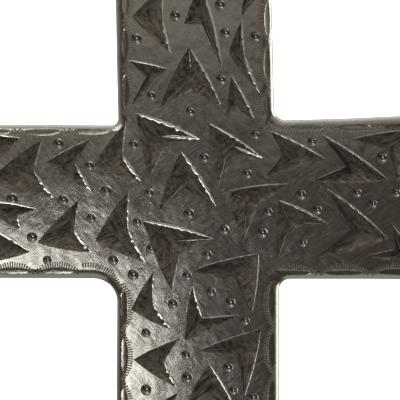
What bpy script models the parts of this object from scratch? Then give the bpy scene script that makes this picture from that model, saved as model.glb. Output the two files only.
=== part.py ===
"""A wall cross cut from one slab of burnished black clay.

The slab is worked lying on its back: X runs across the arms, Y towards the head and Z out of the
burnished face, with the middle of the crossing at the origin. The finished cross is then stood up:
its back against the wall (the plane Y = 0) and the mouth of its nail hole at the world's origin.
"""

import math

import bmesh
import bpy
from mathutils import Vector

# Driving sizes of the slab, in metres
ARM_WIDTH = 0.056
HEAD_REACH = 0.105
FOOT_REACH = 0.190
SIDE_REACH = 0.105
SLAB_THICKNESS = 0.018
FACE_ROUNDING = 0.0040
BACK_ROUNDING = 0.0012
END_CORNER_RADIUS = 0.010

# The hole in the back that takes the nail. It climbs as it goes in, so the cross can't slip off
NAIL_HOLE_RADIUS = 0.005
CLAY_BEHIND_NAIL = 0.008
NAIL_HOLE_CLIMB = math.radians(15)
NAIL_HOLE_ABOVE_CROSSING = 0.060

# Arrows cut with a knife, in shares of their own size, and dimples pressed with a ball
ARROW_DEPTH_SHARE = 0.16
ARROW_DEEPEST_AT = 0.74
DIMPLE_RADIUS = 0.00165
DIMPLE_BALL_RADIUS = 0.0021
END_MARGIN = 0.0045
CUTTER_CLEARANCE = 0.0003

# Points of the outline's caps and sides that lie this close are one, and so are faces this flat
WELD_DISTANCE = 1e-6
FLAT_WITHIN = math.radians(1)

# The carving is laid out in steps of this share of the arm's width, from the crossing's middle
STEPS_TO_ARM_WIDTH = 160
STEP = ARM_WIDTH / STEPS_TO_ARM_WIDTH

# How fine the facets are
CORNER_SEGMENTS = 6
ROUNDING_SEGMENTS = 4
DIMPLE_SIDES = 10
DIMPLE_RINGS = 8
NAIL_HOLE_SIDES = 24
SMOOTH_BELOW = math.radians(30)

# How far hand cutting left each corner off the true square, and the radius of each inner corner
HALF = ARM_WIDTH / 2
INNER_CORNERS = {
    "upper_right": (Vector((HALF - 0.0005, HALF)), 0.0042),
    "upper_left": (Vector((-HALF + 0.0002, HALF - 0.0014)), 0.0026),
    "lower_left": (Vector((-HALF - 0.0003, -HALF + 0.0004)), 0.0082),
    "lower_right": (Vector((HALF + 0.0010, -HALF)), 0.0040),
}
END_CORNERS = {
    "right": (Vector((SIDE_REACH, -HALF)), Vector((SIDE_REACH, HALF + 0.0028))),
    "head": (Vector((HALF - 0.0026, HEAD_REACH)), Vector((-HALF - 0.0018, HEAD_REACH))),
    "left": (Vector((-SIDE_REACH, HALF - 0.0014)), Vector((-SIDE_REACH, -HALF + 0.0004))),
    "foot": (Vector((-HALF - 0.0003, -FOOT_REACH)), Vector((HALF + 0.0010, -FOOT_REACH))),
}

# The arrows, cut by eye. For each: its tip, the ends of its two wings, and the notch's share of
# the way from the tip to the middle between the wings' ends
HEAD_ARROWS = (
    ((-65, 184), (-34, 212), (-26, 147), 0.88),
    ((4, 216), (-13, 176), (25, 132), 0.66),
    ((32, 147), (45, 180), (63, 107), 0.72),
    ((70, 218), (27, 212), (45, 185), 0.70),
    ((-29, 131), (-68, 140), (-66, 95), 0.59),
    ((-8, 153), (-37, 93), (24, 95), 0.75),
    ((35, 124), (30, 80), (58, 80), 0.79),
    ((-40, 232), (-64, 280), (-8, 276), 0.72),
    ((30, 284), (8, 236), (58, 240), 0.70),
)
CROSSING_ARROWS = (
    ((-61, 87), (-47, 23), (3, 61), 0.74),
    ((12, 77), (21, 12), (66, 42), 0.78),
    ((-16, 49), (-38, -10), (19, -6), 0.70),
    ((-54, -21), (-25, -92), (17, -39), 0.74),
    ((32, 9), (46, -42), (92, 16), 0.76),
    ((62, -54), (-6, -71), (55, -113), 0.72),
    ((-102, -41), (-68, 10), (-51, -63), 0.78),
)
LEFT_ARROWS = (
    ((-103, 34), (-71, 79), (-56, 19), 0.72),
    ((-151, 38), (-107, 61), (-106, 9), 0.66),
    ((-209, 18), (-155, 61), (-143, 2), 0.76),
    ((-222, 0), (-160, -9), (-177, -30), 0.80),
    ((-167, -52), (-225, -19), (-222, -64), 0.72),
    ((-177, 62), (-222, 67), (-211, 32), 0.70),
    ((-160, -43), (-118, 0), (-105, -53), 0.76),
    ((-232, 34), (-278, 66), (-280, 12), 0.70),
    ((-284, -34), (-240, -4), (-246, -62), 0.74),
)
RIGHT_ARROWS = (
    ((129, 41), (74, 69), (69, 24), 0.75),
    ((192, 20), (125, 66), (115, 19), 0.60),
    ((82, 0), (132, -24), (81, -60), 0.66),
    ((192, -39), (131, 11), (119, -58), 0.585),
    ((218, 70), (155, 61), (201, 18), 0.66),
    ((223, -62), (196, -25), (169, -56), 0.60),
    ((228, 12), (280, 38), (276, -18), 0.70),
    ((246, -36), (284, -50), (240, -72), 0.62),
)
FOOT_ARROWS = (
    ((-66, -110), (-43, -71), (-25, -130), 0.69),
    ((-64, -160), (-19, -139), (-20, -188), 0.70),
    ((-12, -141), (-4, -85), (42, -115), 0.56),
    ((64, -130), (2, -151), (48, -196), 0.61),
    ((12, -164), (-14, -212), (40, -212), 0.80),
    ((-57, -218), (-19, -193), (-22, -241), 0.70),
)

# The dimples pressed between the arrows
DIMPLES = (
    (-22, 184), (-61, 161), (23, 195), (28, 167), (58, 163), (-46, 104), (24, 120), (-7, 88),
    (58, 65), (7, 42), (50, 26), (-64, 55), (-48, 7), (-8, -14), (27, -30), (-60, -22), (-46, -49),
    (10, -55), (-10, -76), (71, -12), (65, -33), (34, 254), (-34, 262), (-62, 222), (60, 268),
    (-139, 56), (-108, 34), (-91, 9), (-134, 0), (-185, 1), (-106, -18), (-165, -37), (-150, -60),
    (-84, -60), (-64, -75), (-246, 24), (-262, -14), (-236, -28), (-214, 54),
    (115, 58), (185, 42), (104, 5), (160, 7), (199, 7), (120, -10), (176, -4), (106, -43),
    (262, 8), (232, 48), (262, 62), (218, -24), (262, -36),
)
FOOT_DIMPLES = (
    (-24, -104), (-51, -133), (-11, -155), (-10, -178), (-51, -190), (14, -92), (33, -103),
    (48, -121), (31, -168), (36, -191), (56, -198),
)

# Further down the foot the same arrows and dimples come again, each time mirrored
FOOT_REPEAT = 150


def clear_scene():
    for obj in list(bpy.data.objects):
        bpy.data.objects.remove(obj, do_unlink=True)


def new_collection(name):
    made = bpy.data.collections.new(name)
    bpy.context.scene.collection.children.link(made)
    return made


def new_object(name, data, collection, parent):
    obj = bpy.data.objects.new(name, data)
    collection.objects.link(obj)
    obj.parent = parent
    return obj


def fillet(before, corner, after, radius):
    """Points of the arc that rounds a corner of the outline."""
    to_before = (before - corner).normalized()
    to_after = (after - corner).normalized()
    half_angle = to_before.angle(to_after) / 2
    centre = corner + (to_before + to_after).normalized() * radius / math.sin(half_angle)
    start = corner + to_before * radius / math.tan(half_angle) - centre
    end = corner + to_after * radius / math.tan(half_angle) - centre
    clockwise = start.angle_signed(end)
    points = []
    for i in range(CORNER_SEGMENTS + 1):
        turn = -clockwise * i / CORNER_SEGMENTS
        across = start.x * math.cos(turn) - start.y * math.sin(turn)
        up = start.x * math.sin(turn) + start.y * math.cos(turn)
        points.append(centre + Vector((across, up)))
    return points


def outline():
    """The cross's outline, anticlockwise, with every corner rounded."""
    corners = []
    for arm, next_inner in (
        ("right", "upper_right"),
        ("head", "upper_left"),
        ("left", "lower_left"),
        ("foot", "lower_right"),
    ):
        corners += [(corner, END_CORNER_RADIUS) for corner in END_CORNERS[arm]]
        corners.append(INNER_CORNERS[next_inner])
    points = []
    for i, (corner, radius) in enumerate(corners):
        before = corners[i - 1][0]
        after = corners[(i + 1) % len(corners)][0]
        points += fillet(before, corner, after, radius)
    return points


def extruded_outline():
    """The plain slab: a flat outline, extruded both ways from its middle."""
    points = outline()
    curve = bpy.data.curves.new("slab_outline", "CURVE")
    curve.dimensions = "2D"
    curve.fill_mode = "BOTH"
    curve.extrude = SLAB_THICKNESS / 2
    spline = curve.splines.new("POLY")
    spline.points.add(len(points) - 1)
    for target, point in zip(spline.points, points):
        target.co = (point.x, point.y, 0, 1)
    spline.use_cyclic_u = True
    guide = bpy.data.objects.new("slab_outline", curve)
    bpy.context.scene.collection.objects.link(guide)
    evaluated = guide.evaluated_get(bpy.context.evaluated_depsgraph_get())
    mesh = bpy.data.meshes.new_from_object(evaluated)
    bpy.data.objects.remove(guide, do_unlink=True)
    return mesh


def slab_mesh():
    """The slab with its caps welded on, its back on Z = 0 and both rims weighted for rounding."""
    mesh = extruded_outline()
    work = bmesh.new()
    work.from_mesh(mesh)
    bmesh.ops.remove_doubles(work, verts=work.verts, dist=WELD_DISTANCE)
    bmesh.ops.dissolve_limit(work, angle_limit=FLAT_WITHIN, verts=work.verts, edges=work.edges)
    bmesh.ops.translate(work, verts=work.verts, vec=(0, 0, SLAB_THICKNESS / 2))
    bmesh.ops.recalc_face_normals(work, faces=work.faces)
    weight = work.edges.layers.float.new("bevel_weight_edge")
    for edge in work.edges:
        heights = [vert.co.z for vert in edge.verts]
        if min(heights) > SLAB_THICKNESS / 2:
            edge[weight] = 1
        elif max(heights) < SLAB_THICKNESS / 2:
            edge[weight] = BACK_ROUNDING / FACE_ROUNDING
    work.to_mesh(mesh)
    work.free()
    mesh.shade_smooth()
    mesh.set_sharp_from_angle(angle=SMOOTH_BELOW)
    return mesh


def round_the_rims(slab):
    bevel = slab.modifiers.new("rounded_rims", "BEVEL")
    bevel.limit_method = "WEIGHT"
    bevel.width = FACE_ROUNDING
    bevel.segments = ROUNDING_SEGMENTS


def short_of_the_ends(point):
    """Whether a point, given in steps, lies clear of the outer end of its arm."""
    across, up = point[0] * STEP, point[1] * STEP
    return (
        abs(across) <= SIDE_REACH - END_MARGIN
        and -FOOT_REACH + END_MARGIN <= up <= HEAD_REACH - END_MARGIN
    )


def foot_copies(points):
    """The same points again and again down the foot, every other copy mirrored."""
    copies = []
    mirror = 1
    for shift in range(0, round(FOOT_REACH / STEP), FOOT_REPEAT):
        copies.append([(mirror * across, up - shift) for across, up in points])
        mirror = -mirror
    return copies


def all_arrows():
    """Every arrow as its three points and its notch's share."""
    arrows = list(HEAD_ARROWS + CROSSING_ARROWS + LEFT_ARROWS + RIGHT_ARROWS)
    for *points, notch_share in FOOT_ARROWS:
        arrows += [(*copy, notch_share) for copy in foot_copies(points)]
    return [arrow for arrow in arrows if all(short_of_the_ends(point) for point in arrow[:3])]


def all_dimples():
    places = list(DIMPLES)
    for copy in foot_copies(FOOT_DIMPLES):
        places += copy
    return [place for place in places if short_of_the_ends(place)]


def add_arrow_cutter(work, arrow):
    """Adds a four-sided pyramid, point down, whose top stands just clear of the face."""
    tip, wing, other_wing = (Vector(point) * STEP for point in arrow[:3])
    notch = tip.lerp((wing + other_wing) / 2, arrow[3])
    deepest = tip.lerp(notch, ARROW_DEEPEST_AT)
    depth = ARROW_DEPTH_SHARE * ((wing - tip).length + (other_wing - tip).length) / 2
    spread = (depth + CUTTER_CLEARANCE) / depth
    pyramid = bmesh.ops.create_cone(
        work, cap_ends=True, segments=4, radius1=ARM_WIDTH, radius2=0, depth=ARM_WIDTH
    )["verts"]
    point = max(pyramid, key=lambda vert: vert.co.z)
    base = [vert for vert in pyramid if vert is not point]
    base.sort(key=lambda vert: math.atan2(vert.co.y, vert.co.x))
    point.co = (*deepest, SLAB_THICKNESS - depth)
    for vert, corner in zip(base, (tip, wing, notch, other_wing)):
        vert.co = (*deepest.lerp(corner, spread), SLAB_THICKNESS + CUTTER_CLEARANCE)


def arrow_cutters():
    work = bmesh.new()
    for arrow in all_arrows():
        add_arrow_cutter(work, arrow)
    bmesh.ops.recalc_face_normals(work, faces=work.faces)
    mesh = bpy.data.meshes.new("arrow_cutters")
    work.to_mesh(mesh)
    work.free()
    return mesh


def dimple_cutters():
    """A ball for each dimple, held above the face so that it leaves the dimple's radius."""
    lift = math.sqrt(DIMPLE_BALL_RADIUS**2 - DIMPLE_RADIUS**2)
    work = bmesh.new()
    for place in all_dimples():
        ball = bmesh.ops.create_uvsphere(
            work, u_segments=DIMPLE_SIDES, v_segments=DIMPLE_RINGS, radius=DIMPLE_BALL_RADIUS
        )["verts"]
        middle = Vector(place) * STEP
        bmesh.ops.translate(work, verts=ball, vec=(middle.x, middle.y, SLAB_THICKNESS + lift))
    mesh = bpy.data.meshes.new("dimple_cutters")
    work.to_mesh(mesh)
    work.free()
    return mesh


def nail_hole_cutter():
    """A round bar whose middle is the hole's mouth, so that half of it is outside the slab."""
    half_length = (SLAB_THICKNESS - CLAY_BEHIND_NAIL) / math.cos(NAIL_HOLE_CLIMB)
    work = bmesh.new()
    bmesh.ops.create_cone(
        work,
        cap_ends=True,
        segments=NAIL_HOLE_SIDES,
        radius1=NAIL_HOLE_RADIUS,
        radius2=NAIL_HOLE_RADIUS,
        depth=2 * half_length,
    )
    mesh = bpy.data.meshes.new("nail_hole_cutter")
    work.to_mesh(mesh)
    work.free()
    return mesh


def cut(slab, cutter):
    cutter.hide_render = True
    cutter.display_type = "WIRE"
    boolean = slab.modifiers.new(cutter.name, "BOOLEAN")
    boolean.operation = "DIFFERENCE"
    boolean.object = cutter


def black_clay():
    """Burnished clay, fired in smoke."""
    material = bpy.data.materials.new("burnished_black_clay")
    material.use_nodes = True
    shader = material.node_tree.nodes["Principled BSDF"]
    shader.inputs["Base Color"].default_value = (0.045, 0.041, 0.038, 1)
    shader.inputs["Roughness"].default_value = 0.32
    shader.inputs["Metallic"].default_value = 0
    return material


def main():
    clear_scene()
    pieces = new_collection("clay_wall_cross")
    cutters = new_collection("cutters")

    upright = new_object("upright", None, pieces, None)
    upright.rotation_euler.x = math.pi / 2
    upright.location.z = -NAIL_HOLE_ABOVE_CROSSING

    slab = new_object("clay_cross", slab_mesh(), pieces, upright)
    slab.data.materials.append(black_clay())
    round_the_rims(slab)
    cut(slab, new_object("arrow_cutters", arrow_cutters(), cutters, upright))
    cut(slab, new_object("dimple_cutters", dimple_cutters(), cutters, upright))

    bar = new_object("nail_hole_cutter", nail_hole_cutter(), cutters, upright)
    bar.location.y = NAIL_HOLE_ABOVE_CROSSING
    bar.rotation_euler.x = -NAIL_HOLE_CLIMB
    cut(slab, bar)


main()
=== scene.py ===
# %% [markdown]
# # A wall cross of burnished black clay
#
# The real cross is one slab of clay. Its maker rubbed the leather-hard face with a smooth stone,
# cut arrow shapes into it with a knife, pressed dimples with a ball, ran a toothed wheel along the
# rims in scallops, and fired it in smoke. Here the slab comes first, then a tool for each kind of
# mark, and then the tools go into the slab one after another. The slab lies on its back while it is
# worked, with X across the arms, Y towards the head and Z out of the face, and it is stood up
# against the wall at the end.

# %% The frame
import math
import random

import bmesh
import bpy
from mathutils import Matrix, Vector, noise
from mathutils.bvhtree import BVHTree
from mathutils.interpolate import poly_3d_calc


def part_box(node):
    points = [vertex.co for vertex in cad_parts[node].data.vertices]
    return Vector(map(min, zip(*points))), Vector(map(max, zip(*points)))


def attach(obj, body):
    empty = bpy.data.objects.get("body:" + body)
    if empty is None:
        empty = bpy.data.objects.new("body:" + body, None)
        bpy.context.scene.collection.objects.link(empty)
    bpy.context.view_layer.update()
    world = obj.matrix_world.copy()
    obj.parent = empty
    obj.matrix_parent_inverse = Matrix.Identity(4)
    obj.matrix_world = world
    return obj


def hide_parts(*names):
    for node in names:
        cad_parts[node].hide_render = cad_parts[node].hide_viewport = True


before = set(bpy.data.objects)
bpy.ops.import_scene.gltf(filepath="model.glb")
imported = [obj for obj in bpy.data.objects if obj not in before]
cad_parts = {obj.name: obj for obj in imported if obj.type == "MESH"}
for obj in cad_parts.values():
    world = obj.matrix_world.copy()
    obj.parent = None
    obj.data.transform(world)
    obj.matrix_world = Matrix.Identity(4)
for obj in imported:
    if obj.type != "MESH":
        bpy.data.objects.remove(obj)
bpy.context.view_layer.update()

# %% [markdown]
# ## Sizes
#
# The sizes of the slab are those of the solid, in metres. The carving is measured from the middle
# of the crossing in small steps, 160 to the width of an arm, so the numbers stay whole and readable.
# Where a mark's size differs a little from the solid's, the mesh shows it more finely.

# %% Sizes of the slab
ARM_WIDTH = 0.056
HEAD_REACH = 0.105
FOOT_REACH = 0.190
SIDE_REACH = 0.105
SLAB_THICKNESS = 0.018
FACE_ROUNDING = 0.0040
BACK_ROUNDING = 0.0012
END_CORNER_RADIUS = 0.010
CROSSING_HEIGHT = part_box("clay_cross")[1][2] - HEAD_REACH
STEPS_TO_ARM_WIDTH = 160
STEP = ARM_WIDTH / STEPS_TO_ARM_WIDTH
HALF = ARM_WIDTH / 2

# The worked clay stays this far inside the solid, so that burrs and waves have room
ALLOWANCE = 0.0004

print("the crossing is", round(-CROSSING_HEIGHT * 1000), "mm below the nail hole")

# %% Small helpers for selecting and copying
def only(obj):
    """Makes the object the only one selected, and active."""
    bpy.ops.object.select_all(action="DESELECT")
    obj.select_set(True)
    bpy.context.view_layer.objects.active = obj


def select_by(obj, kind, wanted):
    """In edit mode, selects the verts, edges or faces that pass the test, and nothing else."""
    bpy.ops.mesh.select_mode(type={"verts": "VERT", "edges": "EDGE", "faces": "FACE"}[kind])
    bpy.ops.mesh.select_all(action="DESELECT")
    work = bmesh.from_edit_mesh(obj.data)
    for element in getattr(work, kind):
        if wanted(element):
            element.select_set(True)
    work.select_flush_mode()
    bmesh.update_edit_mesh(obj.data)


def reshaped_copy(master, name, move):
    """A copy of a master piece with a mesh of its own, each vertex moved by a function."""
    mesh = master.data.copy()
    for vert in mesh.vertices:
        vert.co = move(vert.co)
    copy = bpy.data.objects.new(name, mesh)
    bpy.context.collection.objects.link(copy)
    return copy


def joined(copies, name):
    """The copies as one object, with their faces turned outwards."""
    only(copies[0])
    for copy in copies[1:]:
        copy.select_set(True)
    bpy.ops.object.join()
    whole = bpy.context.object
    whole.name = name
    bpy.ops.object.mode_set(mode="EDIT")
    bpy.ops.mesh.select_all(action="SELECT")
    bpy.ops.mesh.normals_make_consistent(inside=False)
    bpy.ops.object.mode_set(mode="OBJECT")
    return whole

# %% [markdown]
# ## The slab
#
# The slab could be a scaled cube for each arm, but the arms of the real one run into each other
# with soft, uneven inner corners. So one plane is the crossing, its four edges are extruded into
# arms, the corners are rounded one by one, and only then is the sheet given its thickness.

# %% The corners, a little off the true square as hand cutting left them
INNER_CORNERS = (
    ((HALF - 0.0005, HALF), 0.0042),
    ((-HALF + 0.0002, HALF - 0.0014), 0.0026),
    ((-HALF - 0.0003, -HALF + 0.0004), 0.0082),
    ((HALF + 0.0010, -HALF), 0.0040),
)
SIDE_END = SIDE_REACH - ALLOWANCE
HEAD_END = HEAD_REACH - ALLOWANCE
FOOT_END = FOOT_REACH - ALLOWANCE
END_CORNERS = (
    (SIDE_END, -HALF),
    (SIDE_END, HALF + 0.0028),
    (HALF - 0.0026, HEAD_END),
    (-HALF - 0.0018, HEAD_END),
    (-SIDE_END, HALF - 0.0014),
    (-SIDE_END, -HALF + 0.0004),
    (-HALF - 0.0003, -FOOT_END),
    (HALF + 0.0010, -FOOT_END),
)
CORNERS = [(Vector(place), radius) for place, radius in INNER_CORNERS]
CORNERS += [(Vector(place), END_CORNER_RADIUS) for place in END_CORNERS]

# %% Crossing and arms
bpy.ops.object.select_all(action="DESELECT")
bpy.ops.mesh.primitive_plane_add(size=ARM_WIDTH)
slab = bpy.context.object
slab.name = "carved_clay_cross"
bpy.ops.object.mode_set(mode="EDIT")
for outward, reach in (
    (Vector((1, 0, 0)), SIDE_END),
    (Vector((0, 1, 0)), HEAD_END),
    (Vector((-1, 0, 0)), SIDE_END),
    (Vector((0, -1, 0)), FOOT_END),
):
    select_by(slab, "edges", lambda e: all(v.co.dot(outward) > HALF * 0.99 for v in e.verts)
              and all(abs(v.co.cross(outward).z) < HALF * 1.01 for v in e.verts))
    bpy.ops.mesh.extrude_edges_move(TRANSFORM_OT_translate={"value": outward * (reach - HALF)})
bpy.ops.mesh.select_all(action="SELECT")
bpy.ops.mesh.dissolve_limited(angle_limit=math.radians(1))

work = bmesh.from_edit_mesh(slab.data)
for place, _ in CORNERS:
    nearest = min(work.verts, key=lambda v: (v.co.xy - place).length)
    nearest.co.xy = place
bmesh.update_edit_mesh(slab.data)
print("outline before rounding:", len(work.verts), "corners")

# %% Rounded corners, thickness and rims
CORNER_SEGMENTS = 10
RIM_SEGMENTS = 8
BACK_SEGMENTS = 3

for place, radius in CORNERS:
    select_by(slab, "verts", lambda v: (v.co.xy - place).length < 1e-5)
    bpy.ops.mesh.bevel(offset=radius, segments=CORNER_SEGMENTS, affect="VERTICES")
bpy.ops.mesh.select_all(action="SELECT")
bpy.ops.mesh.extrude_region_move(TRANSFORM_OT_translate={"value": (0, 0, SLAB_THICKNESS)})
select_by(slab, "edges", lambda e: all(v.co.z > SLAB_THICKNESS * 0.9 for v in e.verts))
bpy.ops.mesh.bevel(offset=FACE_ROUNDING, segments=RIM_SEGMENTS, affect="EDGES")
select_by(slab, "edges", lambda e: all(v.co.z < SLAB_THICKNESS * 0.1 for v in e.verts))
bpy.ops.mesh.bevel(offset=BACK_ROUNDING, segments=BACK_SEGMENTS, affect="EDGES")
bpy.ops.mesh.select_all(action="SELECT")
bpy.ops.mesh.normals_make_consistent(inside=False)
print("plain slab:", len(bmesh.from_edit_mesh(slab.data).faces), "faces")

# %% [markdown]
# ## The hand-worked surface
#
# A stone rubbed over wet clay never leaves it flat. It leaves broad shallow waves and a slight
# crown to each arm, and those waves are what breaks up a reflection in the polished face. The slab
# is cut into small squares by bisecting it with planes, and each vertex then sinks by a smooth
# noise and by how near it is to the rim.

# %% Squares to carry the waves
GRID = 0.0020

for axis, low, high in ((0, -SIDE_REACH, SIDE_REACH), (1, -FOOT_REACH, HEAD_REACH)):
    normal = Vector((axis == 0, axis == 1, 0))
    count = round((high - low) / GRID)
    for i in range(1, count):
        bpy.ops.mesh.select_all(action="SELECT")
        bpy.ops.mesh.bisect(plane_co=normal * (low + (high - low) * i / count), plane_no=normal)
bpy.ops.mesh.select_all(action="SELECT")
bpy.ops.mesh.remove_doubles(threshold=1e-5)
bpy.ops.object.mode_set(mode="OBJECT")
print("squared slab:", len(slab.data.polygons), "faces")

# %% Crown and waves
CROWN = 0.0007
WAVES = ((0.030, 0.00020), (0.010, 0.000075))
OUTLINE_WAVE = 0.00022
OUTLINE_WAVE_LENGTH = 0.022


def from_the_edge(x, y):
    """Roughly how far a point of the face is from the nearest rim."""
    in_upright = min(HALF - abs(x), HEAD_REACH - y, FOOT_REACH + y)
    in_arms = min(HALF - abs(y), SIDE_REACH - abs(x))
    return max(in_upright, in_arms, 0)


def sunk(x, y):
    """How far the worked face lies below the top of the solid."""
    to_middle = 1 - min(from_the_edge(x, y) / HALF, 1)
    depth = ALLOWANCE + CROWN * to_middle**2
    for length, height in WAVES:
        depth += height * (1 + noise.noise(Vector((x, y, length)) / length))
    return depth


for vert in slab.data.vertices:
    x, y, z = vert.co
    spot = Vector((x, y, z * 0.5)) / OUTLINE_WAVE_LENGTH
    vert.co.x += OUTLINE_WAVE * noise.noise(spot)
    vert.co.y += OUTLINE_WAVE * noise.noise(spot + Vector((7, 3, 1)))
    vert.co.z -= sunk(x, y) * (z / SLAB_THICKNESS) ** 2
slab.data.update()
print("the face lies", round(1000 * sunk(0, 0), 2), "mm below the solid's at the middle")


# A copy is kept uncut, because its smooth normals are wanted at the end
uncut = slab.copy()
uncut.data = slab.data.copy()
bpy.context.collection.objects.link(uncut)


def face_at(x, y):
    """The point of the plain worked face over a place, and its normal."""
    hit, point, normal, _ = slab.ray_cast(Vector((x, y, 2 * SLAB_THICKNESS)), Vector((0, 0, -1)))
    return (point, normal) if hit else (Vector((x, y, SLAB_THICKNESS)), Vector((0, 0, 1)))

# %% [markdown]
# ## The arrows
#
# Each arrow is cut with four strokes that meet at its deepest point, so it is a four-sided pyramid
# pushed in upside down, with one corner pulled inwards as the notch. One cone with four sides,
# subdivided, is the master. On it the corners lie at 1 on the X and Y axes, so a vertex's own X and
# Y say how much of each corner it takes, and every copy is stretched over its own four corners.

# %% Where each arrow is cut
# For each: its tip, the ends of its two wings, and the notch's share of the way from the tip to
# the middle between the wings' ends, in steps from the middle of the crossing
HEAD_ARROWS = (
    ((-65, 184), (-34, 212), (-26, 147), 0.88),
    ((4, 216), (-13, 176), (25, 132), 0.66),
    ((32, 147), (45, 180), (63, 107), 0.72),
    ((70, 218), (27, 212), (45, 185), 0.70),
    ((-29, 131), (-68, 140), (-66, 95), 0.59),
    ((-8, 153), (-37, 93), (24, 95), 0.75),
    ((35, 124), (30, 80), (58, 80), 0.79),
    ((-40, 232), (-64, 280), (-8, 276), 0.72),
    ((30, 284), (8, 236), (58, 240), 0.70),
)
CROSSING_ARROWS = (
    ((-61, 87), (-47, 23), (3, 61), 0.74),
    ((12, 77), (21, 12), (66, 42), 0.78),
    ((-16, 49), (-38, -10), (19, -6), 0.70),
    ((-54, -21), (-25, -92), (17, -39), 0.74),
    ((32, 9), (46, -42), (92, 16), 0.76),
    ((62, -54), (-6, -71), (55, -113), 0.72),
    ((-102, -41), (-68, 10), (-51, -63), 0.78),
)
LEFT_ARROWS = (
    ((-103, 34), (-71, 79), (-56, 19), 0.72),
    ((-151, 38), (-107, 61), (-106, 9), 0.66),
    ((-209, 18), (-155, 61), (-143, 2), 0.76),
    ((-222, 0), (-160, -9), (-177, -30), 0.80),
    ((-167, -52), (-225, -19), (-222, -64), 0.72),
    ((-177, 62), (-222, 67), (-211, 32), 0.70),
    ((-160, -43), (-118, 0), (-105, -53), 0.76),
    ((-232, 34), (-278, 66), (-280, 12), 0.70),
    ((-284, -34), (-240, -4), (-246, -62), 0.74),
)
RIGHT_ARROWS = (
    ((129, 41), (74, 69), (69, 24), 0.75),
    ((192, 20), (125, 66), (115, 19), 0.60),
    ((82, 0), (132, -24), (81, -60), 0.66),
    ((192, -39), (131, 11), (119, -58), 0.585),
    ((218, 70), (155, 61), (201, 18), 0.66),
    ((223, -62), (196, -25), (169, -56), 0.60),
    ((228, 12), (280, 38), (276, -18), 0.70),
    ((246, -36), (284, -50), (240, -72), 0.62),
)
FOOT_ARROWS = (
    ((-66, -110), (-43, -71), (-25, -130), 0.69),
    ((-64, -160), (-19, -139), (-20, -188), 0.70),
    ((-12, -141), (-4, -85), (42, -115), 0.56),
    ((64, -130), (2, -151), (48, -196), 0.61),
    ((12, -164), (-14, -212), (40, -212), 0.80),
    ((-57, -218), (-19, -193), (-22, -241), 0.70),
)

# %% Further down the foot the same marks come again, each time mirrored
FOOT_REPEAT = 150
END_MARGIN = 0.0045


def short_of_the_ends(point):
    """Whether a point of the carving keeps its distance from the four ends."""
    across, up = point[0] * STEP, point[1] * STEP
    return abs(across) <= SIDE_REACH - END_MARGIN and (
        -FOOT_REACH + END_MARGIN <= up <= HEAD_REACH - END_MARGIN
    )


def foot_copies(points):
    """The points again and again down the foot, each time mirrored."""
    copies = []
    mirror = 1
    for shift in range(0, round(FOOT_REACH / STEP), FOOT_REPEAT):
        copies.append([(mirror * across, up - shift) for across, up in points])
        mirror = -mirror
    return copies


arrows = list(HEAD_ARROWS + CROSSING_ARROWS + LEFT_ARROWS + RIGHT_ARROWS)
for *points, share in FOOT_ARROWS:
    arrows += [(*copy, share) for copy in foot_copies(points)]
arrows = [arrow for arrow in arrows if all(short_of_the_ends(point) for point in arrow[:3])]
print(len(arrows), "arrows")

# %% The corners of one arrow, on the worked face
ARROW_DEPTH_SHARE = 0.16
ARROW_DEEPEST_AT = 0.74
DEEPEST_STRAYS = 0.07
SIDE_BOW = 0.035

draw = random.Random(11)


class Arrow:
    def __init__(self, tip, wing, other_wing, notch_share):
        flat = [Vector(point) * STEP for point in (tip, wing, other_wing)]
        notch = flat[0].lerp((flat[1] + flat[2]) / 2, notch_share)
        self.tip, self.wing, self.other_wing, self.notch = (
            face_at(*point)[0] for point in (*flat, notch)
        )
        length = ((flat[1] - flat[0]).length + (flat[2] - flat[0]).length) / 2
        deepest_at = ARROW_DEEPEST_AT + draw.uniform(-1, 1) * DEEPEST_STRAYS
        self.deepest = self.tip.lerp(self.notch, deepest_at)
        self.deepest += (self.wing - self.other_wing) * draw.uniform(-1, 1) * DEEPEST_STRAYS
        self.deepest.z = self.tip.lerp(self.notch, 0.5).z - ARROW_DEPTH_SHARE * length

    def outward(self, start, end):
        """The level direction that points out of the cut across one of its sides."""
        along = end - start
        out = Vector((along.y, -along.x, 0)).normalized()
        return out if out.dot(start - self.deepest) > 0 else -out


cuts = [Arrow(*arrow) for arrow in arrows]

# %% The master cutter
CUTTER_RISE = 0.0012
ROUGHNESS_OF_CUT = 0.00013
ROUGHNESS_OF_TEAR = 0.00026
ROUGH_LENGTH = 0.0022
ROUGH_RISE_LENGTH = 0.0016
FACET_SAG = 0.14
PASS_HEIGHT = 0.10
PASSES = 3.5
CUTTER_FACETS = 8
# Above this height the master's vertices lie inside its facets, and below it on their rim or the lid
FACETS_ABOVE = -0.49

bpy.ops.object.select_all(action="DESELECT")
bpy.ops.mesh.primitive_cone_add(vertices=4, radius1=1, depth=1)
arrow_master = bpy.context.object
bpy.ops.object.mode_set(mode="EDIT")
select_by(arrow_master, "faces", lambda f: f.normal.z > -0.5)
bpy.ops.mesh.subdivide(number_cuts=CUTTER_FACETS - 1)
select_by(arrow_master, "faces", lambda f: f.normal.z < -0.5)
bpy.ops.mesh.dissolve_faces()
bpy.ops.mesh.extrude_region_move(TRANSFORM_OT_translate={"value": (0, 0, -1)})
bpy.ops.object.mode_set(mode="OBJECT")

# The blade presses the two long facets smooth and tears the two at the notch
for face in arrow_master.data.polygons:
    face.material_index = int(face.center.y < 0)
print("cutter:", len(arrow_master.data.vertices), "vertices")


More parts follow.
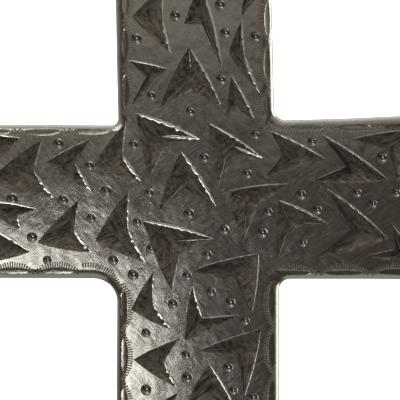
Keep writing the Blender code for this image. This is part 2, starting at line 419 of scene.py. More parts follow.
def shaped_to(arrow):
    """The move that stretches the master over an arrow's corners."""
    side, other_side = arrow.wing - arrow.tip, arrow.other_wing - arrow.tip
    depth = arrow.notch.z - arrow.deepest.z
    passes = draw.uniform(0, 90)
    bow = arrow.outward(arrow.tip, arrow.wing) * side.length * SIDE_BOW
    other_bow = arrow.outward(arrow.tip, arrow.other_wing) * other_side.length * SIDE_BOW

    def move(co):
        right, left, ahead, back = max(co.x, 0), max(-co.x, 0), max(co.y, 0), max(-co.y, 0)
        place = arrow.deepest.copy()
        place += ahead * (arrow.tip - arrow.deepest) + back * (arrow.notch - arrow.deepest)
        place += left * (arrow.wing - arrow.deepest) + right * (arrow.other_wing - arrow.deepest)
        place += 4 * ahead * left * bow + 4 * ahead * right * other_bow
        inside = 1 - ahead - back - left - right
        on_facet = co.z > FACETS_ABOVE
        place.z -= 4 * FACET_SAG * depth * inside * (1 - inside) * on_facet
        stroke = noise.noise(Vector((PASSES * inside, passes + (co.x > 0) * 9 + (co.y > 0) * 17, 0)))
        place.z += PASS_HEIGHT * depth * stroke * min(1, 6 * inside * (1 - inside)) * on_facet
        rough = ROUGHNESS_OF_CUT + (ROUGHNESS_OF_TEAR - ROUGHNESS_OF_CUT) * min(1, 3 * back)
        spot = place / ROUGH_LENGTH
        place += rough * Vector((noise.noise(spot), noise.noise(spot + Vector((5, 5, 5))), 0))
        place.z += rough * 1.5 * noise.noise(place / ROUGH_RISE_LENGTH) * on_facet
        if co.z < -1:
            place.z += CUTTER_RISE
        return place

    return move


arrow_copies = [reshaped_copy(arrow_master, "cut", shaped_to(cut)) for cut in cuts]
arrow_cutter = joined(arrow_copies, "arrow_cutter")
bpy.data.objects.remove(arrow_master)
print("arrow cutters:", len(arrow_cutter.data.polygons), "faces")

# %% [markdown]
# ## Burrs
#
# A knife lifts the leather-hard clay beside its cut into a ragged lip, on the sides that the blade
# leans to, and the stone then rubs that lip to a shine. A bead of eight sides is extruded along its
# length once, and each copy follows one such side of an arrow. The sides that the blade leaned away
# from get no bead. The beads are joined on after the arrows are cut, so that they hang a little
# over them.

# %% The master bead
BEAD_RINGS = 22
BEAD_SIDES = 8

bpy.ops.object.select_all(action="DESELECT")
bpy.ops.mesh.primitive_circle_add(vertices=BEAD_SIDES, radius=1, fill_type="NGON")
bead_master = bpy.context.object
bpy.ops.object.mode_set(mode="EDIT")
for ring in range(BEAD_RINGS):
    select_by(bead_master, "faces", lambda f: len(f.verts) == BEAD_SIDES
              and (ring == 0 or f.calc_center_median().z > 0))
    bpy.ops.mesh.extrude_region_move(TRANSFORM_OT_translate={"value": (0, 0, 1 / BEAD_RINGS)})
bpy.ops.object.mode_set(mode="OBJECT")
print("bead:", len(bead_master.data.vertices), "vertices")

# %% A burr along each side that the blade leaned to
BLADE_LEANS = Vector((0.70, 0.71, 0))
LEAST_LEAN = 0.30
RIM_WIDTH = 0.00010
RIM_HEIGHT = 0.00008
RIM_RISE = 0.00001
BURR_WIDTH = 0.00074
BURR_HEIGHT = 0.00036
BURR_RISE = 0.00016
BURR_OVERHANG = 0.25
BURR_SIZES = (0.6, 1.3)
LEAN_POWER = 1.6
LUMP_LENGTH = 0.0013
LEAST_LUMP, LUMPINESS = 0.85, 1.3
BEAD_TIP = 0.08
# On the right arm the maker's hand was lighter, and the burrs are this share smaller
LIGHTER_HAND = 0.5


def bead_along(start, end, out, bow):
    """The move that lays the master bead along a side."""
    length = (end - start).length
    size = max(0, out.dot(BLADE_LEANS)) ** LEAN_POWER * draw.uniform(*BURR_SIZES)
    size *= 1 - LIGHTER_HAND * min(max(start.x / HALF - 0.5, 0), 1)
    seed = Vector((draw.uniform(0, 50), 0, 0))
    belly = draw.uniform(0.7, 1.4)

    def move(co):
        t = min(max(co.z, 0), 1)
        swell = math.sin(math.pi * t**belly) ** 0.6 if 0 < t < 1 else 0
        ragged = LEAST_LUMP + LUMPINESS * noise.noise(seed + Vector((t * length / LUMP_LENGTH, 0, 0)))
        swell = BEAD_TIP + (1 - BEAD_TIP) * swell
        width = swell * (RIM_WIDTH + BURR_WIDTH * size * ragged)
        height = swell * (RIM_HEIGHT + BURR_HEIGHT * size * ragged)
        rise = swell * (RIM_RISE + BURR_RISE * size * ragged)
        path = start.lerp(end, t) + out * (4 * t * (1 - t) * bow * length)
        point, _ = face_at(path.x, path.y)
        point = point + out * (width * (co.x - BURR_OVERHANG))
        return point + Vector((0, 0, rise + height * (co.y - 1)))

    return move


def burrs(name, side):
    """One row of burrs: the same side of every arrow, where the blade leaned to it."""
    copies = []
    for cut in cuts:
        start, end, bow = side(cut)
        out = cut.outward(start, end)
        if out.dot(BLADE_LEANS) > LEAST_LEAN:
            copies.append(reshaped_copy(bead_master, "burr", bead_along(start, end, out, bow)))
    return joined(copies, name)


burr_rows = [
    burrs("wing_burrs", lambda cut: (cut.tip, cut.wing, SIDE_BOW)),
    burrs("other_wing_burrs", lambda cut: (cut.tip, cut.other_wing, SIDE_BOW)),
    burrs("notch_burrs", lambda cut: (cut.notch, cut.wing, 0)),
    burrs("other_notch_burrs", lambda cut: (cut.notch, cut.other_wing, 0)),
]
print("burrs:", sum(len(row.data.polygons) for row in burr_rows), "faces")

# %% Shreds left inside the cuts, where two strokes met
# For each: the arrow's place in the list, the corner that it runs to, where it starts and ends on
# the way there, half its width, how far it is pushed up the facet, and how flat it is
SHREDS = (
    (5, "tip", 0.15, 0.90, 0.00022, 0, 0.7),
    (9, "other_wing", 0.12, 0.99, 0.00085, 0.0010, 0.22),
    (10, "other_wing", 0.15, 0.99, 0.00080, 0.0010, 0.22),
    (2, "other_wing", 0.10, 0.80, 0.00022, 0, 0.7),
    (1, "other_wing", 0.10, 0.85, 0.00022, 0, 0.7),
    (12, "other_wing", 0.10, 0.95, 0.00030, 0, 0.7),
)
FACET_SLOPE = 0.7
LEDGE_TILT = 0.16


def shred_along(cut, corner, first, last, width, push, flatness):
    """The move that lays the master bead along the bottom of a cut, towards one of its corners."""
    end = getattr(cut, corner)
    seed = Vector((draw.uniform(0, 50), 3, 0))
    across = (end - cut.deepest).cross(Vector((0, 0, 1))).normalized()
    across *= -1 if across.dot(cut.tip - cut.deepest) < 0 else 1

    def move(co):
        t = min(max(co.z, 0), 1)
        ragged = 0.8 + 0.7 * noise.noise(seed + Vector((9 * t, 0, 0)))
        size = width * (0.1 + math.sin(math.pi * t) ** 0.6 if 0 < t < 1 else 0.1) * ragged
        point = cut.deepest.lerp(end, first + (last - first) * t)
        aside = size * co.x + push * (1 - t)
        level = push * (1 - t) * FACET_SLOPE + LEDGE_TILT * size * co.x + size * flatness * co.y
        return point + across * aside + Vector((0, 0, level))

    return move


# %% Fine creases, where the blade's passes left a thin lip along the bottom of a cut
CREASE_SHARE = 0.80
CREASE_HALF_WIDTH = 0.00017
CREASE_FLATNESS = 0.8

shreds = [reshaped_copy(bead_master, "shred", shred_along(cuts[i], *rest)) for i, *rest in SHREDS]
crease_master = reshaped_copy(bead_master, "crease", lambda co: co)
only(crease_master)
decimate = crease_master.modifiers.new("fewer", "DECIMATE")
decimate.decimate_type = "UNSUBDIV"
decimate.iterations = 2
bpy.ops.object.modifier_apply(modifier=decimate.name)
print("crease:", len(crease_master.data.vertices), "vertices")
creases = []
for cut in cuts:
    for corner in ("tip", "wing", "other_wing"):
        if draw.random() < CREASE_SHARE:
            half = CREASE_HALF_WIDTH * draw.uniform(0.7, 1.5)
            first, last = draw.uniform(0, 0.3), draw.uniform(0.7, 1)
            along = shred_along(cut, corner, first, last, half, 0, CREASE_FLATNESS)
            creases.append(reshaped_copy(crease_master, "crease", along))
shreds = joined(shreds, "shreds")
creases = joined(creases, "creases")
bpy.data.objects.remove(crease_master)
bpy.data.objects.remove(bead_master)
print("creases:", len(creases.data.polygons), "faces")

# %% [markdown]
# ## Dimples
#
# A round-ended tool pressed into clay leaves a cup whose rim is drawn down softly with it. Such a
# tool is a body of revolution, so its profile is written down once, from the tip outwards, and the
# rings of a ball are moved onto it. The soft rim gives each dimple its thin bright crescent.

# %% Where the dimples are
DIMPLES = (
    (-22, 184), (-61, 161), (23, 195), (28, 167), (58, 163), (-46, 104), (24, 120), (-7, 88),
    (58, 65), (7, 42), (50, 26), (-64, 55), (-48, 7), (-8, -14), (27, -30), (-60, -22), (-46, -49),
    (10, -55), (-10, -76), (71, -12), (65, -33), (34, 254), (-34, 262), (-62, 222), (60, 268),
    (-139, 56), (-108, 34), (-91, 9), (-134, 0), (-185, 1), (-106, -18), (-165, -37), (-150, -60),
    (-84, -60), (-64, -75), (-246, 24), (-262, -14), (-236, -28), (-214, 54),
    (115, 58), (185, 42), (104, 5), (160, 7), (199, 7), (120, -10), (176, -4), (106, -43),
    (262, 8), (232, 48), (262, 62), (218, -24), (262, -36),
)
FOOT_DIMPLES = (
    (-24, -104), (-51, -133), (-11, -155), (-10, -178), (-51, -190), (14, -92), (33, -103),
    (48, -121), (31, -168), (36, -191), (56, -198),
)
dimples = list(DIMPLES)
for copy in foot_copies(FOOT_DIMPLES):
    dimples += copy
dimples = [place for place in dimples if short_of_the_ends(place)]
print(len(dimples), "dimples")

# %% The round-ended tool
DIMPLE_RADIUS = 0.00152
DIMPLE_DEPTH = 0.00085
DIMPLE_SIZES = (0.86, 1.12)
# For each ring of the ball, its radius and height as shares of the two sizes above
TOOL_PROFILE = (
    (0, -1), (0.27, -0.95), (0.52, -0.81), (0.72, -0.58), (0.86, -0.33), (0.96, -0.13), (1.08, -0.035),
    (1.30, 0.02), (1.30, 0.3), (1.0, 0.3), (0.7, 0.3), (0.3, 0.3), (0, 0.3),
)

bpy.ops.object.select_all(action="DESELECT")
bpy.ops.mesh.primitive_uv_sphere_add(segments=20, ring_count=len(TOOL_PROFILE) - 1, radius=1)
ball_master = bpy.context.object

balls = []
for x, y in dimples:
    point, normal = face_at(x * STEP, y * STEP)
    size = draw.uniform(*DIMPLE_SIZES)
    turn = Vector((0, 0, 1)).rotation_difference(normal).to_matrix()

    def ball_move(co):
        way_up = math.asin(max(-1, min(1, co.z))) / math.pi + 0.5
        ring = round(way_up * (len(TOOL_PROFILE) - 1))
        reach, height = TOOL_PROFILE[ring]
        flat = co.xy.normalized() if reach else Vector((0, 0))
        reach *= DIMPLE_RADIUS * size
        return point + turn @ Vector((flat.x * reach, flat.y * reach, height * DIMPLE_DEPTH * size))

    balls.append(reshaped_copy(ball_master, "ball", ball_move))
dimple_balls = joined(balls, "dimple_balls")
bpy.data.objects.remove(ball_master)

# %% [markdown]
# ## The toothed border
#
# A small toothed wheel was rolled along the rims in short arcs that bulge inwards, so its teeth
# stand in scallops. The master tooth is a box that narrows to a wedge, and a loop walks each arc and
# sets a tooth across it a little under every millimetre, tilted with the rounded rim. The wheel also
# pressed a shallow scoop outside each arc, which is a flattened ball.

# %% The arcs
TOOTH_PITCH = 0.00088
TOOTH_WIDTH = 0.00050
TOOTH_LENGTH = 0.0021
TOOTH_DEPTH = 0.00022
TOOTH_FLOOR = 0.85
TOOTH_RISE = 0.00012
ARC_ENDS_IN = 0.0022
ARC_BULGE = 0.0028
ARC_SHARE = 0.93
# An arc is this much longer than its chord, and the two arcs at an end are this far apart in steps
ARC_TO_CHORD = 1.08
END_PITCH = 48

# From an inner corner outwards along one side of an arm: the corner's sides of the crossing, the
# way along, how far along the first arc's middle lies and how far apart the middles are, in steps
BORDERS = (
    ((-1, -1), (-1, 0), 59, 45),
    ((-1, -1), (0, -1), 29, 49),
    ((1, -1), (1, 0), 13, 52),
    ((1, -1), (0, -1), 23, 48),
    ((1, 1), (1, 0), 32, 47),
    ((1, 1), (0, 1), 10, 46),
    ((-1, 1), (0, 1), 33, 46),
    ((-1, 1), (-1, 0), 26, 50),
)


def corner_of_crossing(sides):
    """The crossing's inner corner that lies to these two sides of its middle."""
    for corner, _ in CORNERS[:len(INNER_CORNERS)]:
        if corner.x * sides[0] > 0 and corner.y * sides[1] > 0:
            return corner


def arc_points(middle, along, inward, chord):
    """Points a tooth apart on an arc that bulges inwards, each with the arc's own direction."""
    count = round(chord * ARC_TO_CHORD / TOOTH_PITCH)
    points = []
    for i in range(count + 1):
        u = 2 * i / count - 1
        place = middle + along * (u * chord / 2) + inward * (ARC_ENDS_IN + ARC_BULGE * (1 - u * u))
        slope = (along * (chord / 2) - inward * (2 * ARC_BULGE * u)).normalized()
        points.append((place, slope))
    return points


REACHES = {(1, 0): SIDE_REACH, (-1, 0): SIDE_REACH, (0, 1): HEAD_REACH, (0, -1): FOOT_REACH}
arcs, scoop_places = [], []
for sides, way, first, pitch in BORDERS:
    corner, along = corner_of_crossing(sides), Vector(way)
    inward = Vector((-sides[0] * (way[0] == 0), -sides[1] * (way[1] == 0)))
    chord = pitch * STEP * ARC_SHARE
    middle = first * STEP
    while middle + HALF + pitch * STEP / 2 < REACHES[way] - END_CORNER_RADIUS / 3:
        arcs.append(arc_points(corner + along * middle, along, inward, chord))
        scoop_places.append((corner + along * middle, along, inward, chord))
        middle += pitch * STEP

# Two arcs run along each end
for way, reach in REACHES.items():
    outward = Vector(way)
    along = Vector((-outward.y, outward.x))
    for side in (-0.5, 0.5):
        middle = outward * reach + along * (side * END_PITCH * STEP)
        arcs.append(arc_points(middle, along, -outward, END_PITCH * STEP * ARC_SHARE))

# One more arc hugs the wide inner corner at the lower left. Its numbers are in steps
WIDE_CORNER_MIDDLE = Vector((-99, -82))
WIDE_CORNER_ALONG = Vector((36, -22))
WIDE_CORNER_INWARD = Vector((22, 36))
WIDE_CORNER_CHORD = 44
arcs.append(arc_points(WIDE_CORNER_MIDDLE * STEP, WIDE_CORNER_ALONG.normalized(),
                       WIDE_CORNER_INWARD.normalized(), WIDE_CORNER_CHORD * STEP))
print(len(arcs), "arcs")

# %% The scoop outside each arc
# Half its length as a share of the arc's chord, half its width, its depth, and its way in
SCOOP_LENGTH = 0.40
SCOOP_WIDTH = 0.0017
SCOOP_DEPTH = 0.00030
SCOOP_IN = 0.0025
SCOOP_UPRIGHT = Vector((0, 0, 0.3))

bpy.ops.object.select_all(action="DESELECT")
bpy.ops.mesh.primitive_uv_sphere_add(segments=24, ring_count=12, radius=1)
scoop_master = bpy.context.object

scoops = []
for middle, along, inward, chord in scoop_places:
    point, normal = face_at(*(middle + inward * SCOOP_IN))
    tilt = (normal + SCOOP_UPRIGHT).normalized()
    side = Vector((along.x, along.y, 0))
    across = tilt.cross(side).normalized()

    def scoop_move(co):
        return (point + side * (co.x * chord * SCOOP_LENGTH) + across * (co.y * SCOOP_WIDTH)
                + tilt * (co.z * SCOOP_DEPTH))

    scoops.append(reshaped_copy(scoop_master, "scoop", scoop_move))
scoop_cutter = joined(scoops, "scoop_cutter")
bpy.data.objects.remove(scoop_master)

# %% The teeth
# The wheel leaves matt clay in its marks, and their pale colour is partly a painted glint of the lit
# ridges between the teeth. So they show pale on dark clay and dark on shining clay
TOOTH_EDGE = 0.06
TOOTH_LENGTHS = (0.8, 1.1)
TOOTH_DEPTHS = (0.85, 1.2)

bpy.ops.object.select_all(action="DESELECT")
bpy.ops.mesh.primitive_cube_add(size=2)
tooth_master = bpy.context.object


def seat(place, slope):
    """Where a tooth sits, the normal there, and how far the rim falls away at the tooth's ends."""
    point, normal = face_at(*place)
    aside = Vector((-slope.y, slope.x)) * (TOOTH_LENGTH / 2)
    fall = sum((face_at(*end)[0] - point).dot(normal) for end in (place + aside, place - aside)) / 2
    return point, normal, fall


rows = []
for arc in arcs:
    teeth = []
    seats = [seat(*tooth) for tooth in arc]
    for (place, slope), (point, normal, fall) in zip(arc, seats):
        along = Vector((slope.x, slope.y, 0))
        along = (along - normal * along.dot(normal)).normalized()
        across = normal.cross(along)
        length = TOOTH_LENGTH * draw.uniform(*TOOTH_LENGTHS)
        depth = TOOTH_DEPTH * draw.uniform(*TOOTH_DEPTHS)
        spread = (depth + TOOTH_RISE) / depth

        def tooth_move(co):
            width, reach, level = TOOTH_EDGE, TOOTH_FLOOR, -depth
            if co.z > 0:
                width, reach, level = spread, 1, TOOTH_RISE
            return (point + along * (co.x * TOOTH_WIDTH / 2 * width)
                    + across * (co.y * length / 2 * reach) + normal * (level + fall * reach**2))

        teeth.append(reshaped_copy(tooth_master, "tooth", tooth_move))
    rows.append(joined(teeth, "teeth"))
toothed_wheel = joined(rows, "toothed_wheel")
bpy.data.objects.remove(tooth_master)
print(sum(len(arc) for arc in arcs), "teeth")

# %% [markdown]
# ## The nail hole
#
# The back has a blind round hole that climbs as it goes in, so that the cross can't slip off its
# nail. It is pushed with a round stick, which is a cylinder here, tilted about the hole's mouth.

# %% The stick
NAIL_HOLE_RADIUS = 0.005
NAIL_HOLE_DEPTH = 0.010
NAIL_HOLE_CLIMB = math.radians(15)
STICK_ROUNDING = 0.0012

bpy.ops.object.select_all(action="DESELECT")
bpy.ops.mesh.primitive_cylinder_add(
    vertices=40,
    radius=NAIL_HOLE_RADIUS,
    depth=2 * NAIL_HOLE_DEPTH / math.cos(NAIL_HOLE_CLIMB),
    location=(0, -CROSSING_HEIGHT, 0),
    rotation=(-NAIL_HOLE_CLIMB, 0, 0),
)
stick = bpy.context.object
bpy.ops.object.mode_set(mode="EDIT")
select_by(stick, "edges", lambda e: all(v.co.z > 0 for v in e.verts))
bpy.ops.mesh.bevel(offset=STICK_ROUNDING, segments=4, affect="EDGES")
bpy.ops.object.mode_set(mode="OBJECT")

# %% [markdown]
# ## Clay
#
# All eight finishes are the same black clay, so they share two node groups. One makes the short
# strokes that a burnishing stone leaves, the other the fine grain of the clay itself. A finish could
# have been a plain colour, but then the cuts and the face would look alike. What tells them apart is
# mostly how polished they are. The stone left the face and the burrs shining, the ball pressed the
# dimples smooth, and the cuts, the teeth and the sides stayed matt, so they show their own pale grain.
# Some base colours also hold painted light and shade: the dimples are painted darker as the shade in
# their cups, the burrs, shreds and creases are painted pale as their highlights, and part of the
# teeth's paleness is a painted glint.

# %% Node groups
def new_group(name, inputs, outputs):
    group = bpy.data.node_groups.new(name, "ShaderNodeTree")
    for label, value in inputs:
        socket = group.interface.new_socket(label, in_out="INPUT", socket_type="NodeSocketFloat")
        socket.default_value = value
    for label in outputs:
        group.interface.new_socket(label, in_out="OUTPUT", socket_type="NodeSocketFloat")
    return group, group.nodes.new("NodeGroupInput"), group.nodes.new("NodeGroupOutput")


def add(tree, kind, **values):
    node = tree.nodes.new(kind)
    for name, value in values.items():
        setattr(node, name, value)
    return node


def math_node(tree, operation, first, second):
    node = add(tree, "ShaderNodeMath", operation=operation)
    for socket, value in zip(node.inputs, (first, second)):
        if isinstance(value, (int, float)):
            socket.default_value = value
        else:
            tree.links.new(value, socket)
    return node.outputs[0]


def noise_node(tree, vector, scale, detail=2.0, roughness=0.5, distortion=0.0):
    node = add(tree, "ShaderNodeTexNoise")
    tree.links.new(vector, node.inputs["Vector"])
    if isinstance(scale, (int, float)):
        node.inputs["Scale"].default_value = scale
    else:
        tree.links.new(scale, node.inputs["Scale"])
    node.inputs["Detail"].default_value = detail
    node.inputs["Roughness"].default_value = roughness
    node.inputs["Distortion"].default_value = distortion
    return node.outputs["Fac"]


def map_range(tree, value, low, high, to_low, to_high):
    node = add(tree, "ShaderNodeMapRange")
    tree.links.new(value, node.inputs["Value"])
    for label, number in zip(("From Min", "From Max", "To Min", "To Max"), (low, high, to_low, to_high)):
        node.inputs[label].default_value = number
    return node.outputs["Result"]


PATCHES_PER_METRE = 70.0
GRAINS_PER_METRE = 2600.0
PITS_PER_METRE = 420.0
HOLLOWS_PER_METRE = 230.0


def strokes_group():
    """Short strokes in two crossing directions, each direction winning in its own patches."""
    group, given, result = new_group("burnishing_strokes", [("Strokes per metre", 900.0)], ["Strokes"])
    place = add(group, "ShaderNodeTexCoord").outputs["Object"]
    layers = []
    for turn in (0.75, -0.6):
        mapping = add(group, "ShaderNodeMapping", vector_type="TEXTURE")
        group.links.new(place, mapping.inputs["Vector"])
        mapping.inputs["Rotation"].default_value = (0, turn, 0)
        mapping.inputs["Scale"].default_value = (5, 1, 1)
        layers.append(noise_node(group, mapping.outputs["Vector"], given.outputs[0], 3.0, 0.6, 0.4))
    patches = map_range(group, noise_node(group, place, PATCHES_PER_METRE), 0.42, 0.58, 0, 1)
    mix = add(group, "ShaderNodeMix", data_type="FLOAT")
    group.links.new(patches, mix.inputs["Factor"])
    group.links.new(layers[0], mix.inputs["A"])
    group.links.new(layers[1], mix.inputs["B"])
    group.links.new(mix.outputs["Result"], result.inputs["Strokes"])
    return group


def grain_group():
    """Fine grain, a few deeper pits, and wide soft hollows."""
    group, given, result = new_group("clay_grain", [("Grains per metre", GRAINS_PER_METRE)],
                                     ["Grain", "Pits", "Hollows"])
    place = add(group, "ShaderNodeTexCoord").outputs["Object"]
    grain = noise_node(group, place, given.outputs[0], 4.0, 0.7)
    group.links.new(grain, result.inputs["Grain"])
    pits = map_range(group, noise_node(group, place, PITS_PER_METRE, 3.0, 0.6), 0.28, 0.40, 0, 1)
    group.links.new(pits, result.inputs["Pits"])
    hollows = noise_node(group, place, HOLLOWS_PER_METRE, 1.0, 0.4)
    group.links.new(hollows, result.inputs["Hollows"])
    return group


STROKES = strokes_group()
GRAIN = grain_group()

# %% The finishes
# Smoked clay tints its reflections a little
SHEEN = (1, 0.95, 0.85, 1)


def placed(tree, group, value):
    node = add(tree, "ShaderNodeGroup", node_tree=group)
    node.inputs[0].default_value = value
    return node.outputs


def colour_between(tree, factor, first, second):
    mix = add(tree, "ShaderNodeMix", data_type="RGBA")
    tree.links.new(factor, mix.inputs["Factor"])
    mix.inputs["A"].default_value = (*first, 1)
    mix.inputs["B"].default_value = (*second, 1)
    return mix.outputs["Result"]


def bumped(tree, height, distance, strength):
    bump = add(tree, "ShaderNodeBump")
    bump.inputs["Distance"].default_value = distance
    bump.inputs["Strength"].default_value = strength
    tree.links.new(height, bump.inputs["Height"])
    return bump.outputs["Normal"]


def clay_finish(name, dark, light, roughness, strokes_share, strokes_scale, bump_height, ior,
                contrast=0.2, uneven=0):
    """A finish whose colour, roughness and bump all follow the strokes and the grain."""
    material = bpy.data.materials.new(name)
    material.use_nodes = True
    tree = material.node_tree
    shader = tree.nodes["Principled BSDF"]
    shader.inputs["IOR"].default_value = ior
    shader.inputs["Specular Tint"].default_value = SHEEN
    strokes = placed(tree, STROKES, strokes_scale)["Strokes"]
    grain, pits, hollows = placed(tree, GRAIN, GRAINS_PER_METRE)
    worked = math_node(tree, "ADD", math_node(tree, "MULTIPLY", strokes, strokes_share),
                       math_node(tree, "MULTIPLY", grain, 1 - strokes_share))
    worked = map_range(tree, worked, 0.5 - contrast, 0.5 + contrast, 0, 1)
    tree.links.new(colour_between(tree, worked, dark, light), shader.inputs["Base Color"])
    tree.links.new(map_range(tree, worked, 0, 1, *roughness), shader.inputs["Roughness"])
    relief = math_node(tree, "ADD", worked, pits)
    relief = math_node(tree, "ADD", relief, math_node(tree, "MULTIPLY", hollows, uneven))
    tree.links.new(bumped(tree, relief, bump_height, 1.0), shader.inputs["Normal"])
    return material


burnished = clay_finish("stone_burnished_clay", (0.020, 0.0142, 0.0100), (0.042, 0.0305, 0.0215),
                        (0.14, 0.30), 0.75, 1200.0, 0.000020, 2.2, uneven=6.0)
# The dimples' base colour is painted darker than the face's, as painted shade inside their cups.
pressed_painted_shade = clay_finish("ball_pressed_clay_painted_shade", (0.014, 0.011, 0.008), (0.034, 0.027, 0.020),
                      (0.10, 0.18), 0.2, 900.0, 0.00001, 1.9)
knife_cut = clay_finish("knife_cut_clay", (0.010, 0.0080, 0.0060), (0.140, 0.112, 0.087),
                        (0.50, 0.80), 0.65, 800.0, 0.00018, 1.3, contrast=0.11)
torn = clay_finish("torn_clay", (0.010, 0.0080, 0.0060), (0.190, 0.153, 0.117),
                   (0.50, 0.85), 0.3, 800.0, 0.00026, 1.35, contrast=0.11)
# The teeth's pale base is partly their own matt clay and partly a painted glint of the lit ridges
# between them.
toothed_painted_glint = clay_finish("toothed_clay_painted_glint", (0.045, 0.038, 0.030), (0.200, 0.172, 0.138),
                      (0.45, 0.65), 0.1, 900.0, 0.00002, 1.4)
side_clay = clay_finish("smoothed_side_clay", (0.014, 0.011, 0.008), (0.050, 0.040, 0.030),
                        (0.42, 0.62), 0.3, 500.0, 0.00005, 1.5)
# The burrs and shreds are painted pale, a painted highlight on top of the shine that the lamps give
# them.
raised_burr_painted_highlight = clay_finish("rubbed_burr_clay_painted_highlight", (0.090, 0.081, 0.071), (0.220, 0.202, 0.178),
                          (0.08, 0.22), 0.2, 900.0, 0.00002, 2.8)
# The creases' lips are painted pale, as a painted highlight along the bottom of each cut.
lip = clay_finish("crease_lip_clay_painted_highlight", (0.050, 0.041, 0.032), (0.200, 0.168, 0.135),
                  (0.20, 0.40), 0.2, 900.0, 0.00003, 1.7)

# %% [markdown]
# ## Putting the marks into the slab
#
# Booleans do this the way the hand did. The wheel's scoops and teeth, the knife, the ball and the
# stick each take their clay away, and the burrs, shreds and creases are joined on last. Sculpting
# could do it too, but not with an edge as crisp as a knife's. Every tool carries its own finish, and
# the Boolean hands it to the faces it leaves.

# %% Join, cut and clean
SMOOTH_BELOW = math.radians(35)


def worked_with(tool, operation, *finishes):
    """Cuts a tool out of the slab, or joins it on, and gives its faces the tool's finishes."""
    tool.data.materials.clear()
    for finish in finishes:
        tool.data.materials.append(finish)
    only(slab)
    boolean = slab.modifiers.new(tool.name, "BOOLEAN")
    boolean.operation = operation
    boolean.object = tool
    boolean.solver = "MANIFOLD"
    boolean.material_mode = "TRANSFER"
    bpy.ops.object.modifier_apply(modifier=boolean.name)
    bpy.data.objects.remove(tool)
    print(operation.lower(), len(slab.data.polygons), "faces")


slab.data.materials.clear()
slab.data.materials.append(burnished)
worked_with(scoop_cutter, "DIFFERENCE", burnished)
worked_with(toothed_wheel, "DIFFERENCE", toothed_painted_glint)
worked_with(arrow_cutter, "DIFFERENCE", knife_cut, torn)
worked_with(dimple_balls, "DIFFERENCE", pressed_painted_shade)
worked_with(stick, "DIFFERENCE", knife_cut)
for row in burr_rows:
    worked_with(row, "UNION", raised_burr_painted_highlight)
worked_with(shreds, "UNION", raised_burr_painted_highlight)
worked_with(creases, "UNION", lip)

only(slab)
bpy.ops.object.mode_set(mode="EDIT")
bpy.ops.mesh.select_all(action="SELECT")
bpy.ops.mesh.normals_make_consistent(inside=False)
bpy.ops.object.mode_set(mode="OBJECT")
bpy.ops.object.shade_smooth_by_angle(angle=SMOOTH_BELOW)

# %% The sides and the back were only wiped smooth, so they are matt
STEEPEST_POLISHED = math.radians(70)

slab.data.materials.append(side_clay)
matt_faces = 0
for face in slab.data.polygons:
    if face.material_index == 0 and face.normal.z < math.cos(STEEPEST_POLISHED):
        face.material_index = len(slab.data.materials) - 1
        matt_faces += 1
print(matt_faces, "matt faces on the sides and back")

# %% Stand it up
for piece in (slab, uncut):
    only(piece)
    piece.rotation_euler.x = math.pi / 2
    piece.location.z = CROSSING_HEIGHT
    bpy.ops.object.transform_apply(location=True, rotation=True, scale=True)

# %% Smooth normals on the plain face
# The cuts leave long thin faces on the polished face, and these would spoil its reflections. Where
# a vertex still lies on the uncut surface, the corners of polished faces and of the sides and back
# take that surface's normal.
ON_THE_FACE = 0.00001
LEAST_AGREEMENT = 0.7

work = bmesh.new()
work.from_mesh(uncut.data)
work.normal_update()
tree = BVHTree.FromBMesh(work)
work.faces.ensure_lookup_table()
plain = {}
for vert in slab.data.vertices:
    place, _, index, distance = tree.find_nearest(vert.co)
    if distance < ON_THE_FACE:
        corners = work.faces[index].verts
        weights = poly_3d_calc([v.co for v in corners], place)
        blend = sum((w * v.normal for w, v in zip(weights, corners)), Vector())
        plain[vert.index] = blend.normalized()
work.free()
bpy.data.objects.remove(uncut)

normals = [Vector()] * len(slab.data.loops)
for face in slab.data.polygons:
    if slab.data.materials[face.material_index] in (burnished, side_clay):
        for loop, vert in zip(face.loop_indices, face.vertices):
            if vert in plain and face.normal.dot(plain[vert]) > LEAST_AGREEMENT:
                normals[loop] = plain[vert]
slab.data.normals_split_custom_set(normals)
print(len(plain), "of", len(slab.data.vertices), "vertices lie on the plain face")

# %% What it rides on and stands for
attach(slab, "root")
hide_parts("clay_cross")

triangles = sum(len(face.vertices) - 2 for face in slab.data.polygons)
work = bmesh.new()
work.from_mesh(slab.data)
print(triangles, "triangles,", sum(not edge.is_manifold for edge in work.edges), "open edges")
work.free()

# %% [markdown]
# ## Studio
#
# The face is polished, so its look is mostly what it mirrors. A soft panel low on the left shines
# in the left arm and the foot and glints in the burrs. A weak one above lifts the head. One high on
# the left reaches into the cuts, so that the facets that face it are paler than the others. One
# beside the cross draws a pale line down the right edges. The room is dim in front of the cross and
# bright above and behind it.

# %% Camera
VIEW_WIDTH = 0.140
CAMERA_DISTANCE = 0.5
FRAME_SHIFT = 3 * STEP
FACE = -SLAB_THICKNESS

bpy.ops.object.camera_add(
    location=(FRAME_SHIFT, FACE - CAMERA_DISTANCE, CROSSING_HEIGHT), rotation=(math.pi / 2, 0, 0)
)
camera = bpy.context.object
camera.data.lens = camera.data.sensor_width * CAMERA_DISTANCE / VIEW_WIDTH
camera.data.clip_start = 0.01
bpy.context.scene.camera = camera

# %% Lights
def soft_panel(name, offset, size, watts, tint):
    """A flat light that faces the middle of the crossing from an offset."""
    place = Vector((0, FACE, CROSSING_HEIGHT)) + Vector(offset)
    bpy.ops.object.light_add(type="AREA", location=place)
    panel = bpy.context.object
    panel.name = name
    panel.rotation_euler = (-Vector(offset)).to_track_quat("-Z", "Y").to_euler()
    panel.data.shape = "RECTANGLE"
    panel.data.size, panel.data.size_y = size
    panel.data.energy = watts
    panel.data.color = tint
    panel.visible_camera = False


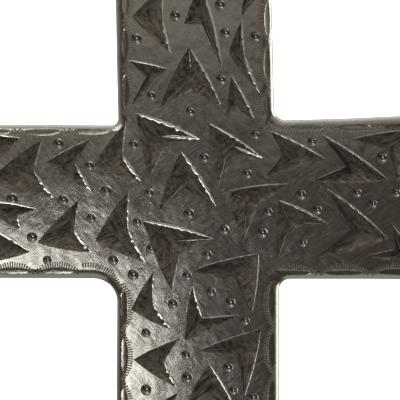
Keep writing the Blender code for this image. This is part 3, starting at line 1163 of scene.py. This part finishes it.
soft_panel("low_left_panel", (-0.22, -0.70, -0.21), (0.26, 0.26), 2.1, (1, 1, 1))
soft_panel("upper_panel", (-0.06, -0.70, 0.20), (0.50, 0.16), 0.26, (1, 0.96, 0.91))
soft_panel("high_left_panel", (-0.35, -0.35, 0.60), (0.46, 0.46), 3.4, (1, 0.98, 0.95))
soft_panel("right_panel", (0.60, 0.14, 0.05), (0.36, 0.80), 6.0, (0.95, 1, 0.90))

# %% Room and floor
# How bright the room is in a direction follows how far that direction points backwards and up, and
# a little how far it points to the right. Furthest up and back there is an extra glow
ROOM_WEIGHTS = (0.25, 1, 0.9)
ROOM_RANGE = (-0.60, 0.40)
ROOM_DIM, ROOM_BRIGHT = 0.08, 1.1
GLOW_RANGE = (0.60, 1.20)
ROOM_GLOW = 1.6
FLOOR_DROP = 0.55
FLOOR_RADIUS = 0.5
FLOOR_COLOUR = (0.60, 0.60, 0.59, 1)

world = bpy.data.worlds.new("pale_room")
bpy.context.scene.world = world
world.use_nodes = True
tree = world.node_tree
sky = tree.nodes["Background"]
ways = add(tree, "ShaderNodeTexCoord")
weighed = add(tree, "ShaderNodeVectorMath", operation="DOT_PRODUCT")
tree.links.new(ways.outputs["Generated"], weighed.inputs[0])
weighed.inputs[1].default_value = ROOM_WEIGHTS
shade = map_range(tree, weighed.outputs["Value"], *ROOM_RANGE, ROOM_DIM, ROOM_BRIGHT)
glow = map_range(tree, weighed.outputs["Value"], *GLOW_RANGE, 0, ROOM_GLOW)
shade = math_node(tree, "ADD", shade, glow)
sight = add(tree, "ShaderNodeLightPath")
seen = math_node(tree, "MAXIMUM", shade, sight.outputs["Is Camera Ray"])
tree.links.new(seen, sky.inputs["Strength"])
sky.inputs["Color"].default_value = (1, 1, 1, 1)

bpy.ops.object.select_all(action="DESELECT")
bpy.ops.mesh.primitive_circle_add(
    vertices=96, radius=FLOOR_RADIUS, fill_type="NGON",
    location=(0, 0, CROSSING_HEIGHT - FOOT_REACH - FLOOR_DROP),
)
floor = bpy.context.object
floor.name = "pale_floor"
paint = bpy.data.materials.new("pale_floor")
paint.use_nodes = True
matt = paint.node_tree.nodes["Principled BSDF"]
matt.inputs["Base Color"].default_value = FLOOR_COLOUR
matt.inputs["Roughness"].default_value = 0.8
floor.data.materials.append(paint)
bpy.context.scene.view_settings.view_transform = "Standard"
